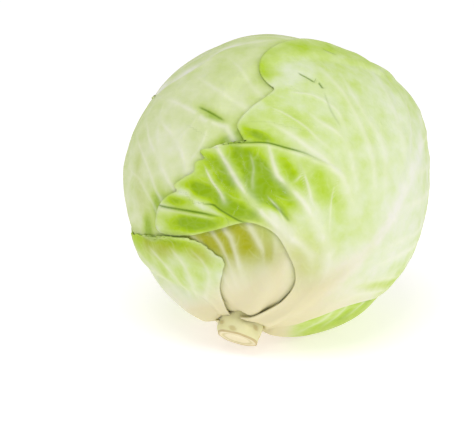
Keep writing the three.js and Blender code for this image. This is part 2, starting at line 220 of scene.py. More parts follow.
LEAVES = [
    {
        "name": "LeafBackLeft",
        "node": "leaf_back_left",
        "slot": "pale_leaf",
        "turn": -80,
        "grid": (150, 180),
        "seed": 1.3,
        "green": 0.34,
        "patches": [
            (4, 12, 5, 8, 0, -0.55), (14, 23, 10, 4, 10, -0.42), (32, 28, 9, 4, 40, -0.42),
            (40, 40, 4, 9, 0, -0.42), (50, 52, 9, 4, 35, -0.55), (62, 58, 7, 4, 30, -0.3),
            (-20, 20, 20, 12, 0, 0.1), (10, 60, 20, 14, 0, 0.12),
        ],
        "outline": [
            FOOT,
            (-15, -62, 0, -60, 15, -60),
            (-34, -50, 0, -46, 32, -48),
            (-50, -34, 0, -32, 44, -34),
            (-57, -16, 1, -18, 50, -18),
            (-60, 2, 2, -3, 53, 0),
            (-60, 20, 4, 13, 56, 18),
            (-58, 38, 6, 29, 61, 34),
            (-54, 55, 9, 46, 68, 50),
            (-46, 72, 13, 64, 75, 68),
            (-34, 88, 18, 84, 78, 88),
            (-16, 102, 22, 106, 62, 104),
        ],
    },
    {
        "name": "LeafUnder",
        "node": "leaf_under",
        "slot": "green_leaf",
        "turn": -163,
        "grid": (150, 170),
        "seed": 2.1,
        "green": 0.55,
        "outline": [
            FOOT,
            (-34, -66, 0, -60, 16, -60),
            (-58, -50, 0, -46, 30, -46),
            (-64, -32, 0, -32, 44, -32),
            (-66, -14, 0, -18, 54, -16),
            (-64, 4, 2, -2, 60, 2),
            (-60, 20, 4, 14, 61, 20),
            (-56, 37, 4, 31, 57, 36),
            (-50, 54, 4, 48, 46, 51),
            (-40, 71, 3, 65, 32, 66),
            (-22, 86, 0, 83, 14, 80),
        ],
    },
    {
        "name": "LeafBackRight",
        "node": "leaf_back_right",
        "slot": "green_leaf",
        "turn": 116,
        "grid": (150, 170),
        "seed": 3.7,
        "green": 0.6,
        "foot": 0.08,
        "shaded": 0.5,
        "pale_midrib": 0.35,
        "patches": [(-8, -46, 9, 7, 0, 0.3), (-16, -33, 9, 7, 0, 0.25), (-3, -58, 6, 5, 0, 0.25)],
        "outline": [
            FOOT,
            (-18, -62, 0, -60, 8, -60),
            (-36, -52, 0, -46, 11, -46),
            (-52, -42, 0, -33, 20, -34),
            (-62, -25, 0, -20, 38, -20),
            (-66, -6, 0, -6, 54, -4),
            (-64, 12, -2, 10, 62, 14),
            (-58, 28, -4, 26, 62, 32),
            (-50, 46, -4, 43, 56, 50),
            (-40, 64, -3, 60, 46, 67),
            (-24, 80, -2, 79, 24, 82),
        ],
    },
    {
        "name": "LeafLeft",
        "node": "leaf_left",
        "slot": "pale_leaf",
        "turn": 15,
        "grid": (175, 278),
        "left_share": 0.7,
        "seed": 4.2,
        "green": 0.34,
        "outline": [
            FOOT,
            (-24, -68, 0, -60, 10, -60),
            (-52, -66, 1, -46, 16, -44),
            (-76, -58, 2, -34, 24, -32),
            (-92, -42, 3, -22, 30, -20),
            (-98, -22, 4, -8, 34, -6),
            (-97, 2, 5, 8, 36, 8),
            (-86, 21, 5, 22, 36, 24),
            (-64, 28, 4, 34, 32, 38),
            (-44, 41, 2, 46, 24, 50),
            (-20, 52, 0, 57, 14, 60),
        ],
        "veins": [
            (3.0, 0.75, [
                (1, -64), (-3, -45), (-10, -37), (-15, -32), (-22, -18), (-28, -5), (-33, 1),
                (-39, 1), (-46, 5), (-54, 9), (-62, 13), (-74, 18),
            ]),
            (2.8, 0.75, [
                (-3, -66), (-15, -47), (-19, -40), (-23, -37), (-32, -29), (-40, -22), (-44, -17),
                (-46, -13), (-51, -7), (-57, -2), (-64, 3), (-72, 10),
            ]),
            (2.4, 0.62, [
                (-5, -68), (-18, -49), (-24, -42), (-33, -36), (-44, -29), (-52, -22), (-58, -15),
                (-66, -7), (-71, 1), (-77, 10),
            ]),
            (2.2, 0.5, [
                (-6, -69), (-23, -52), (-30, -46), (-44, -38), (-54, -31), (-61, -22), (-68, -14),
                (-76, -6), (-84, 4),
            ]),
            (2.0, 0.35, [
                (-7, -70), (-30, -54), (-48, -44), (-60, -32), (-68, -25), (-75, -22), (-86, -18),
            ]),
            (3.0, 0.42, [
                (1, -56), (-4, -30), (-12, -8), (-22, 6), (-29, 10), (-35, 13), (-42, 17),
                (-49, 22), (-54, 26),
            ]),
            (2.6, 0.32, [
                (4, -20), (-8, 4), (-20, 14), (-26, 18), (-31, 24), (-36, 30), (-42, 36),
            ]),
            (2.4, 0.25, [(5, 0), (-6, 18), (-16, 32), (-24, 42)]),
            (1.6, 0.35, [(-44, -17), (-40, -8), (-39, 1)]),
            (1.6, 0.3, [(-51, -7), (-46, 0), (-44, 6)]),
            (1.6, 0.3, [(-58, -15), (-62, -4), (-64, 6), (-64, 14)]),
        ],
        "left_margin": [
            (0, -10, -78.5), (1, -24, -68), (2, -52, -66), (3, -76, -58), (4, -92, -42),
            (5, -98, -22), (6, -96, -1), (6.5, -90, 13), (7, -82, 19.5), (7.5, -72, 21),
            (8, -62, 25.5), (8.5, -53, 30.5), (9, -46, 38.5), (9.5, -36, 45), (10, -22, 50),
        ],
        "slits": [(0.8, [(-46, 8.5, 0.6), (-40, 6, 0.8), (-33, 3, 0.5)])],
        "patches": [
            (-54, -35, 4, 8, 25, 0.55), (-60, -46, 4, 8, 10, 0.7), (-29, -4, 6, 3, 20, 0.75),
            (-40, -20, 16, 12, 0, -0.06), (-30, 32, 20, 14, 0, -0.1), (-24, -38, 16, 3, 10, 0.6),
            (-39, 4, 9, 2.4, -25, 0.5), (-36, 30, 16, 8, -40, 0.12), (-60, -4, 8, 16, 25, -0.12),
            (-74, -24, 6, 14, 0, 0.12), (-56, 18, 12, 6, -30, -0.1), (-46, -32, 12, 8, 30, 0.4),
            (-12, 44, 12, 8, 0, 0.1), (-88, 6, 8, 20, 0, 0.15),
        ],
        "gold_and_shade_patches": [
            (-14, -39, 11, 10, 0, 0.95), (-24, -42, 9, 9, 0, 0.6), (-34, -46, 8, 6, 0, 0.8),
            (-3, -41, 5, 5, 0, 0.5), (-14, -50, 12, 6, 0, 0.15), (-72, -18, 4, 12, 10, 0.14),
            (-66, -34, 5, 8, 20, 0.16),
        ],
        "root": 0.1,
    },
    {
        "name": "LeafRight",
        "node": "leaf_right",
        "slot": "green_leaf",
        "turn": 50,
        "grid": (175, 278),
        "left_share": 0.64,
        "rim": 0.14,
        "foot": 0.4,
        "gold_and_shade_patches": [
            (-14, -44, 9, 7, -50, 0.3), (-22, -39, 6, 4, -40, 0.2), (-3, -40, 3, 14, -30, 0.1),
        ],
        "seed": 5.9,
        "green": 0.3,
        "outline": [
            FOOT,
            (-8, -64, 0, -66, 13, -67),
            (-11, -54, -1, -57, 14, -58),
            (-20, -44, -2, -49, 18, -48),
            (-34, -37, -2, -41, 27, -41),
            (-50, -45, -1, -33, 40, -34),
            (-66, -60, 1, -25, 50, -24),
            (-77, -49, 3, -17, 57, -13),
            (-74, -32, 5, -9, 61, -1),
            (-67, -12, 7, 0, 63, 12),
            (-61, 3, 9, 9, 62, 24),
            (-56, 18, 12, 19, 60, 36),
            (-59, 33, 15, 31, 56, 48),
            (-48, 49, 18, 44, 50, 60),
            (-31, 58, 22, 58, 42, 70),
            (-12, 66, 26, 72, 32, 80),
        ],
        # Half way to the left margin: the leaf bends down into the lobe below its tear
        "left_bend": [
            (0, -5, -77), (1, -4, -65), (2, -5.5, -55), (3, -10.5, -44), (3.5, -14.5, -38.5),
            (4, -19, -34), (4.5, -25, -30), (5, -32, -27.5), (6, -39, -25), (7, -42, -20),
            (8, -40, -12), (9, -35, -4), (10, -29, 5), (11, -24, 15), (12, -21, 27), (13, -15, 40),
            (14, -7, 54), (15, 4, 66),
        ],
        "veins": [
            (2.6, 0.95, [
                (-2, -62), (-8, -46), (-15, -38), (-23, -35), (-30, -34), (-39, -32), (-46, -29),
                (-53, -25), (-58, -21), (-66, -14), (-72, -8), (-78, -2),
            ]),
            (2.6, 1.0, [
                (-1, -58), (-4, -46), (-7, -38), (-13, -31), (-21, -27), (-27, -23), (-33, -20),
                (-38, -18), (-43, -16), (-47, -11), (-50, -6), (-51.5, -3),
            ]),
            (1.5, 0.7, [(-21, -27), (-25, -22), (-29, -19), (-33, -14), (-39, -7)]),
            (3.6, 0.8, [
                (0, -46), (2, -34), (-2, -25), (-9, -18), (-16, -12), (-21, -7), (-24, -6),
                (-30, -4), (-36, -2), (-44, 1), (-51, 3), (-58, 5),
            ]),
            (1.2, 0.8, [(-53, -36), (-58, -31), (-64, -27), (-70, -21)]),
            (1.3, 0.5, [(-23, -1), (-33, 2), (-40, 6), (-48, 9), (-56, 11)]),
            (2.4, 0.6, [
                (1, -30), (-12, -12), (-19, -3), (-23, 4), (-25, 6), (-30, 8), (-36, 10),
                (-43, 14),
            ]),
            (1.3, 0.5, [(-23, 5), (-27, 12), (-31, 17), (-38, 20), (-44, 20), (-50, 19)]),
            (3.4, 0.36, [(3, -22), (-2, -9), (-5, 1), (-9, 12), (-18, 19), (-25, 29), (-28, 38)]),
            (3.4, 0.42, [
                (3, -28), (-3, -18), (-7, -7), (-12, 4), (-19, 13), (-26, 23), (-34, 33),
                (-39, 40),
            ]),
            (3.4, 0.34, [(4, -14), (4, -7), (2, 6), (0, 16), (-3, 26), (-7, 37), (-10, 51)]),
            (3.0, 0.3, [(6, 2), (6, 8), (6, 21), (5, 34), (5, 48)]),
            (3.6, 0.45, [(4, -28), (9, -22), (15, -16), (25, -9), (38, 2), (52, 14)]),
            (3.4, 0.45, [(4, -34), (11, -29), (19, -22), (26, -16), (40, -6), (54, 4)]),
            (3.2, 0.42, [(4, -39), (12, -35), (23, -30), (35, -24), (48, -16)]),
            (2.8, 0.4, [(3, -43), (13, -41), (23, -37), (34, -32), (42, -28)]),
            (3.2, 0.42, [(5, -7), (11, -3), (20, 3), (34, 14), (52, 28)]),
            (2.8, 0.4, [(6, 5), (13, 11), (23, 18), (38, 30), (52, 40)]),
            (1.8, 0.4, [(10, 18), (18, 26), (30, 38), (44, 52)]),
            (1.8, 0.4, [(14, 32), (22, 42), (34, 56)]),
            (1.4, 0.28, [(-46, -29), (-50, -22), (-52, -16), (-56, -10)]),
            (1.0, 0.5, [(-38, -18), (-36, -12), (-39, -7)]),
            (1.0, 0.5, [(-30, -34), (-36, -28), (-44, -24)]),
            (1.0, 0.45, [(-13, -31), (-18, -24), (-22, -16), (-24, -8)]),
        ],
        "left_margin": [
            (0, -10, -78.5), (1, -8, -64), (1.5, -9, -57), (2, -12, -50), (2.5, -17, -45),
            (3, -24, -40.5), (3.5, -32, -36.5), (4, -39, -36), (4.5, -45, -38), (5, -51, -44.5),
            (5.5, -59, -54), (6, -67, -61), (6.4, -74, -62), (6.7, -78, -57), (7, -79, -50),
            (7.5, -77, -42), (7.8, -74.5, -38), (8, -77, -36), (8.3, -74, -30), (8.6, -71.5, -26),
            (8.8, -73, -22), (9, -70.5, -19), (9.15, -73, -16), (9.3, -69, -13), (9.5, -66, -10.5),
            (9.7, -63, -9.2), (9.95, -58.5, -6.6), (10.1, -61, -3.5), (10.4, -63, 0),
            (10.8, -61, 8), (11.2, -57, 16), (11.5, -54.5, 20), (11.7, -57, 23), (12.2, -59.5, 30),
            (12.6, -58, 37), (13, -51.5, 46), (13.4, -45, 52), (14, -36, 57), (14.5, -24, 61),
            (15, -12, 66),
        ],
        # The tear above the lobe, the fold in it and its mouth
        "steps": [
            (2.1, 9, 0.25, [
                (-66, -9.5, 0.1), (-61, -8.6, 0.25), (-57, -7.4, 0.7), (-51, -5.4, 0.9),
                (-45, -5, 0.9), (-41, -4.6, 0.8), (-37, -4.4, 0.35), (-32, -5, 0.1), (-27, -5, 0),
                (-22, -6.5, 0), (-17, -10, 0),
            ]),
            (1.9, 7, 0.3, [
                (-82, -50, 0.4), (-75, -48, 0.8), (-70, -46, 0.8), (-65, -44, 0.9),
                (-60, -42.4, 0.9), (-56, -41.4, 0.5), (-53, -40, 0),
            ]),
            (0.9, 4, 0.0, [
                (-42, -36.5, 0), (-46, -37.6, 0.7), (-50, -37.6, 0.8), (-55, -37, 0.8),
                (-58.5, -36.4, 0.9), (-61.5, -37.6, 0.4),
            ]),
        ],
        "slits": [
            (0.9, [(-45, 31, 0.8), (-41, 29, 0.8), (-38, 27, 0.8)]),
            (0.9, [(-37, 28, 0.8), (-35, 25, 0.8)]),
            (0.6, [(-32, 50, 0.4), (-26, 48, 0.4)]),
            (0.2, [(-35, 24, 0.2), (-32, 16, 0.2), (-27, 10, 0.2)]),
            (0.8, [(-41, -26, 0.2), (-37, -27, 0.5), (-33, -28.5, 0.5), (-31, -29.5, 0.3)]),
        ],
        "patches": [
            (-58, -26, 24, 18, 0, 0.3), (-56.5, -14, 9, 3.6, -38, 0.5),
            (-50.5, -16.5, 7, 3.4, -54, 0.55), (-41.5, -19.8, 9, 3.4, -24, 0.7),
            (-46, -25, 7, 3.2, -30, 0.6), (-37, -27, 6, 1.6, -14, 0.4),
            (-37, -30.4, 6, 1.6, -23, -0.35), (-40, -12, 8, 3, -31, 0.42),
            (-27, -13, 9, 4.5, -37, 0.3), (-59, -24.5, 6, 3.4, -30, 0.45),
            (-68, -19, 5, 4, 0, 0.4), (-65, -32.5, 8, 3, 0, 0.55), (-73, -43, 5, 3, 20, 0.5),
            (-62, -49, 13, 5, 33, 0.75), (-47, -34.5, 10, 3.4, 0, 0.65),
            (-71, -37, 3.5, 2.5, 40, -0.3), (-63.5, -38.8, 5, 1.4, -20, -0.3),
            (-56, -39.4, 3, 0.9, 0, -0.3), (-54, -3, 6, 2, -8, 0.6), (-61, -5, 3, 1.6, 0, 0.4),
            (-44, 8, 8, 3, -20, 0.15), (-60, 30, 4.5, 9, 10, 0.4), (-53, 23, 5, 3.5, 20, -0.2),
            (-44, 30, 7, 5, -20, -0.15), (-6, 26, 12, 14, 0, -0.14), (-42, 46, 12, 5, 20, 0.2),
            (-20, 52, 14, 6, 0, 0.15), (-24, 34, 12, 3, -50, 0.1), (8, 44, 10, 10, 0, 0.05),
            (12, 0, 14, 40, 10, -0.16), (-6, -20, 14, 10, 0, 0.1), (40, -27, 14, 7, 25, 0.35),
            (22, -33, 12, 2.6, 25, 0.3), (-13, -42, 10, 6, -50, 0.3), (-22, -37, 8, 5, -50, 0.32),
        ],
    },
    {
        "name": "LeafTorn",
        "node": "leaf_torn",
        "slot": "green_leaf",
        "turn": -72,
        "grid": (110, 100),
        "seed": 7.4,
        "green": 0.4,
        "ragged": 1.3,
        "fray": 0.03,
        "curl": 0.3,
        "patches": [(8, -36, 9, 4, -20, 0.5), (24, -43, 8, 4, -25, 0.4), (-6, -30, 7, 6, 0, 0.2)],
        "veins": [
            (3.0, 0.5, [(0, -72), (-6, -56), (-12, -42), (-16, -28)]),
            (2.6, 0.45, [(1, -70), (2, -56), (-2, -44), (-8, -34), (-10, -27)]),
            (2.4, 0.45, [(2, -68), (9, -56), (9, -46), (4, -38)]),
            (2.4, 0.4, [(3, -68), (16, -58), (20, -50), (18, -42)]),
            (2.0, 0.35, [(4, -70), (24, -61), (29, -53), (28, -46)]),
            (2.6, 0.4, [(-1, -70), (-14, -60), (-24, -48), (-30, -34)]),
            (2.2, 0.35, [(-2, -72), (-20, -64), (-32, -52), (-38, -40)]),
            (1.4, 0.3, [(-9, -49), (-18, -40), (-24, -30)]),
        ],
        "root": 0.15,
        "gold_and_shade_patches": [(14, -43, 9, 3.5, -10, 0.6), (30, -50, 5, 4, -50, 0.6), (4, -38, 5, 3, 0, 0.5)],
        "outline": [
            (-8, -78.5, 0, -75.6, 8, -78.5),
            (-21, -67, -1, -66, 24, -66),
            (-32, -58, -3, -57, 36, -57),
            (-40, -46, -6, -46, 34.5, -48),
            (-38, -36, -10, -36, 25, -40.5),
            (-27, -27, -13, -26, 10, -38),
        ],
    },
]


def margin_wave(leaf, side, s):
    phase = leaf["seed"] * np.where(side < 0, 1, 2.3)
    wave = sum(share * np.sin(turns * s + shift * phase) for turns, shift, share in RIPPLES)
    tatters = noise(s * 30, side, 1, 7) + 0.6 * noise(s * 70, side, 1, 8)
    fray = leaf.get("fray", 0) * tatters * smooth(s, 0.5, 0.7)
    return MARGIN_WAVE * wave * smooth(s, 0.15, 0.4) + fray


def row_curve(points, s):
    """A curve whose points are each listed with the outline row that they are on."""
    points = np.asarray(points, float)
    even = np.linspace(0, 1, len(points))
    return curve_through(points[:, 1:], np.interp(s * points[-1, 0], points[:, 0], even))


def leaf_point(leaf, u, v):
    """The flat place of a leaf's point: u from -1 to 1 across it, v from foot to tip."""
    side = np.abs(u)
    bent = (u < 0) & ("left_bend" in leaf)
    s = np.where(bent, v, 1 - (1 - v) ** (1 + RIB_FAN * side))
    rows = np.asarray(leaf["outline"], float)
    spine = curve_through(rows[:, 2:4], s)
    left = curve_through(rows[:, 0:2], s)
    if "left_margin" in leaf:
        left = row_curve(leaf["left_margin"], s)
    edge = np.where((u < 0)[:, None], left, curve_through(rows[:, 4:6], s))
    reach = (side * (1 + margin_wave(leaf, u, s) * side**3))[:, None]
    place = spine + (edge - spine) * reach
    if "left_bend" in leaf:
        sag = row_curve(leaf["left_bend"], s) - (spine + edge) / 2
        place = place + np.where(bent[:, None], sag * 4 * reach * (1 - reach), 0)
    return place


def prepare(leaf):
    leaf["middle"] = head_direction(leaf["turn"], LAYOUT_MIDDLE)
    leaf["along"] = head_direction(leaf["turn"], LAYOUT_MIDDLE + 90)
    leaf["across"] = np.cross(leaf["along"], leaf["middle"])
    v = np.linspace(0, 1, 121)
    ones = np.ones(len(v))
    left = leaf_point(leaf, -ones, v)
    right = leaf_point(leaf, ones, v[::-1])
    tip = leaf_point(leaf, np.zeros(1), np.ones(1))
    leaf["border"] = np.vstack([left, tip, right])
    s = np.linspace(0, 1, 25)
    leaf["spine"] = curve_through(np.asarray(leaf["outline"], float)[:, 2:4], s)


def margin_distance(leaf, x, y):
    """Degrees from a leaf's margin: positive inside the leaf, negative outside it."""
    inside = np.zeros(len(x), bool)
    nearest = np.full(len(x), 1e9)
    border = leaf["border"]
    for a, b in zip(border, np.roll(border, -1, axis=0)):
        nearest = np.minimum(nearest, segment_distance(x, y, a, b)[0])
        if a[1] != b[1]:
            crosses = (a[1] > y) != (b[1] > y)
            inside ^= crosses & (x < (b[0] - a[0]) * (y - a[1]) / (b[1] - a[1]) + a[0])
    return np.where(inside, nearest, -nearest)


def midrib_rise(leaf, x, y):
    """The midrib's height over the blade, and how pale it is there."""
    nearest = np.full(len(x), 1e9)
    s = np.zeros(len(x))
    for i, (a, b) in enumerate(zip(leaf["spine"], leaf["spine"][1:])):
        distance, along, _ = segment_distance(x, y, a, b)
        closer = distance < nearest
        nearest = np.where(closer, distance, nearest)
        s = np.where(closer, (i + along) / (len(leaf["spine"]) - 1), s)
    width = MIDRIB_HALF_WIDTH * (1 - 0.6 * s**0.7)
    shape = np.exp(-((nearest / width) ** 2))
    return MIDRIB_HEIGHT * (1 - s) ** 1.6 * shape, shape * (1 - 0.75 * s)


def pucker(direction, seed):
    """Shallow rolls of a whole leaf, none of them where the head rests."""
    x, y, z = direction.T
    rolls = np.sin(9 * x + 5 * z + seed) * np.sin(8 * y - 6 * z + 2 * seed)
    return PUCKER_RISE * (0.5 + 0.5 * rolls) * smooth(z, -0.9, -0.6)


def layers_at(direction, last):
    """Height over the heart of each leaf's underside and top, up to leaf number last."""
    layers = []
    for leaf in LEAVES[: last + 1]:
        x, y = to_flat(leaf, direction)
        under = np.full(len(direction), LAYER_GAP)
        for lower in layers:
            under = np.maximum(under, (lower["top"] + LAYER_GAP) * lower["cover"])
        inside = margin_distance(leaf, x, y)
        rise, white = midrib_rise(leaf, x, y)
        top = under + BLADE + rise + pucker(direction, leaf["seed"])
        cover = smooth(inside, -DRAPE_END, -DRAPE_START)
        layer = {"under": under, "top": top, "inside": inside, "cover": cover, "white": white}
        layers.append(layer)
    return layers


def cover_distance(direction, index):
    """Degrees to the nearest leaf over this one: negative where bare, positive where covered."""
    nearest = np.full(len(direction), -99.0)
    for leaf in LEAVES[index + 1 :]:
        nearest = np.maximum(nearest, margin_distance(leaf, *to_flat(leaf, direction)))
    return nearest


def fine_curve(points, steps):
    return curve_through(points, np.linspace(0, 1, steps))


def row_veins(leaf):
    """Side veins that leave the midrib and lean towards the tip."""
    random = np.random.RandomState(int(leaf["seed"] * 10))
    veins = []
    for side in (-1, 1):
        starts = np.linspace(0.04, 0.8, ROW_VEINS) + random.uniform(-0.02, 0.02, ROW_VEINS)
        for v in starts:
            u = side * np.linspace(0, 0.95, 9)
            lean = random.uniform(*ROW_VEIN_LEAN)
            path = leaf_point(leaf, u, np.clip(v + lean * np.abs(u) ** 1.3, 0, 0.98))
            veins.append((3.0 - 1.4 * v, random.uniform(*ROW_VEIN_STRENGTH), path))
    return veins


def twigs(veins, seed):
    """Smaller veins that leave each side vein to both sides, leaning towards its tip."""
    random = np.random.RandomState(seed)
    found = []
    for _, _, path in veins:
        path = fine_curve(path, 40)
        steps = np.hypot(*np.diff(path, axis=0).T)
        along = np.concatenate([[0], np.cumsum(steps)])
        place = TWIG_START + 4 * random.rand()
        side = 1
        while place < along[-1] - 3:
            i = int(np.searchsorted(along, place)) - 1
            tangent = unit(path[i + 1] - path[i])
            lean = math.radians(side * random.uniform(*TWIG_LEAN))
            c, s = math.cos(lean), math.sin(lean)
            heading = np.array([[c, -s], [s, c]]) @ tangent
            length = random.uniform(*TWIG_LENGTH)
            middle = path[i] + heading * length * 0.5
            tip = path[i] + unit(heading + 0.5 * tangent) * length
            found.append((TWIG_WIDTH, 1.0, np.array([path[i], middle, tip])))
            place += random.uniform(*TWIG_GAP)
            side = -side
    return found


def vein_field(x, y, veins, steps, root, apart):
    """The place of each point against the veins next to it.

    Returns the distance from the nearest vein's line in vein widths, signed by side, how strong
    that vein is, and a soft halo round all the veins. A vein grows in over the first share of its
    length, root, and fades where another is nearly as near, within the distance apart.
    """
    nearest = np.full(len(x), NONE_NEAR)
    second = np.full(len(x), NONE_NEAR)
    offset = np.full(len(x), NONE_NEAR)
    strength = np.zeros(len(x))
    halo = np.zeros(len(x))
    for width, power, path in veins:
        path = fine_curve(path, steps)
        margin = 4 * width / DEGREE_MM
        low = path.min(0) - margin
        high = path.max(0) + margin
        near = (x > low[0]) & (x < high[0]) & (y > low[1]) & (y < high[1])
        near = np.nonzero(near)[0]
        own = np.full(len(near), NONE_NEAR)
        place = np.zeros(len(near))
        hand = np.ones(len(near))
        for i, (a, b) in enumerate(zip(path, path[1:])):
            distance, along, side = segment_distance(x[near], y[near], a, b)
            s = (i + along) / (len(path) - 1)
            share = distance * DEGREE_MM / (width * (1 - 0.55 * s) * (1 + smooth(s, root, 0)))
            closer = share < own
            own = np.where(closer, share, own)
            place = np.where(closer, s, place)
            hand = np.where(closer, side, hand)
        fade = power * smooth(place, 1.02, 0.75) * smooth(place, 0, root)
        halo[near] = np.maximum(halo[near], fade * np.exp(-((own / 1.7) ** 2)))
        first = own < nearest[near]
        second[near] = np.where(first, nearest[near], np.minimum(second[near], own))
        nearest[near] = np.where(first, own, nearest[near])
        offset[near] = np.where(first, own * hand, offset[near])
        strength[near] = np.where(first, fade, strength[near])
    clear = smooth(second - nearest, 0.2 * apart, apart)
    return np.clip(offset, -4, 4), strength * clear, halo


def patch_field(x, y, patches):
    """The sum of soft oval patches: middle, two radii, turn in degrees and amount."""
    field = np.zeros(len(x))
    for px, py, rx, ry, turn, amount in patches:
        c, s = math.cos(math.radians(turn)), math.sin(math.radians(turn))
        a = ((x - px) * c + (y - py) * s) / rx
        b = (-(x - px) * s + (y - py) * c) / ry
        field += amount * np.exp(-(a**2 + b**2))
    return field


def line_distance(x, y, line):
    """Distance from a line, how far along it, the side, 1 on its left, and its darkness there."""
    path = fine_curve(line, 24)
    nearest = np.full(len(x), 1e9)
    s = np.zeros(len(x))
    side = np.zeros(len(x))
    dark = np.zeros(len(x))
    for i, (a, b) in enumerate(zip(path, path[1:])):
        distance, along, hand = segment_distance(x, y, a, b)
        closer = distance < nearest
        nearest = np.where(closer, distance, nearest)
        s = np.where(closer, (i + along) / (len(path) - 1), s)
        side = np.where(closer, hand, side)
        dark = np.where(closer, a[2] * (1 - along) + b[2] * along, dark)
    return nearest, s, side, np.clip(dark, 0, 1)


def grid_mesh(name, columns, rows):
    """A flat grid from -1 to 1 each way, with its points' places as an array."""
    bm = bmesh.new()
    bmesh.ops.create_grid(bm, x_segments=columns, y_segments=rows, size=1)
    mesh = bpy.data.meshes.new(name)
    bm.to_mesh(mesh)
    bm.free()
    places = np.empty(len(mesh.vertices) * 3)
    mesh.vertices.foreach_get("co", places)
    return mesh, places.reshape(-1, 3)


def set_places(mesh, places_mm):
    mesh.vertices.foreach_set("co", (places_mm * MM).ravel())
    mesh.update()


def add_piece(name, mesh, material):
    for polygon in mesh.polygons:
        polygon.use_smooth = True
    mesh.materials.append(material)
    piece = bpy.data.objects.new(name, mesh)
    bpy.context.scene.collection.objects.link(piece)
    return piece


def add_field(mesh, name, values):
    layer = mesh.attributes.new(name, "FLOAT", "POINT")
    layer.data.foreach_set("value", np.asarray(values, np.float32))


def add_flat(mesh, name, x_mm, y_mm):
    layer = mesh.attributes.new(name, "FLOAT_VECTOR", "POINT")
    flat = np.stack([x_mm, y_mm, np.zeros(len(x_mm))], 1)
    layer.data.foreach_set("vector", flat.astype(np.float32).ravel())


def leaf_grid(leaf):
    """A leaf's mesh, with u from -1 to 1 across the leaf and v from its foot to its tip."""
    mesh, even = grid_mesh(leaf["name"], *leaf["grid"])
    share = leaf.get("left_share", 0.5)
    place = (np.clip(even[:, 0], -1, 1) + 1) / 2
    u = np.where(place < share, place / share - 1, (place - share) / (1 - share))
    v = np.clip((even[:, 1] + 1) / 2, 0, 1)
    if "ragged" in leaf:
        rag = noise(u * 10, u * 0, 1, 3) * 0.5 + noise(u * 17, u * 0, 1, 4) * 0.25
        torn = smooth(v, 0.4, 1) * smooth(u, -0.7, -0.2) * smooth(u, 1, 0.6)
        v = np.clip(v * (1 - leaf["ragged"] * 0.1 * (0.6 + rag) * torn), 0, 1)
    return mesh, u, v


def fold_fields(leaf, x, y):
    """What a leaf's steps and slits do to it.

    Returns their height in mm, the signed distance in mm from the nearest of their lines, how dark
    the painted shadow in the crease is there, and how light the painted highlight on the edge.
    """
    height = np.zeros(len(x))
    crease = np.full(len(x), NONE_NEAR)
    crease_shadow = np.zeros(len(x))
    lip_highlight_strength = np.zeros(len(x))
    for rise, fade, light, line in leaf.get("steps", []):
        distance, s, side, dark = line_distance(x, y, line)
        taper = smooth(s, 0, 0.15) * smooth(s, 1, 0.65)
        raised = -side * distance
        top = smooth(raised, -0.8, 0.8) * np.exp(-np.maximum(raised, 0) / fade)
        height += rise * taper * top
        here = distance < np.abs(crease)
        crease = np.where(here, raised, crease)
        crease_shadow = np.where(here, dark, crease_shadow)
        lip_highlight_strength = np.where(here, light * taper * smooth(raised, -0.5, 0.5), lip_highlight_strength)
    for depth, line in leaf.get("slits", []):
        distance, s, side, dark = line_distance(x, y, line)
        taper = smooth(s, 0, 0.2) * smooth(s, 1, 0.8)
        height -= depth * taper * np.exp(-((distance / SLIT_WIDTH) ** 2))
        here = distance < np.abs(crease)
        crease = np.where(here, side * distance, crease)
        crease_shadow = np.where(here, dark * taper, crease_shadow)
        lip_highlight_strength = np.where(here, 0, lip_highlight_strength)
    return height, crease * DEGREE_MM, crease_shadow, lip_highlight_strength


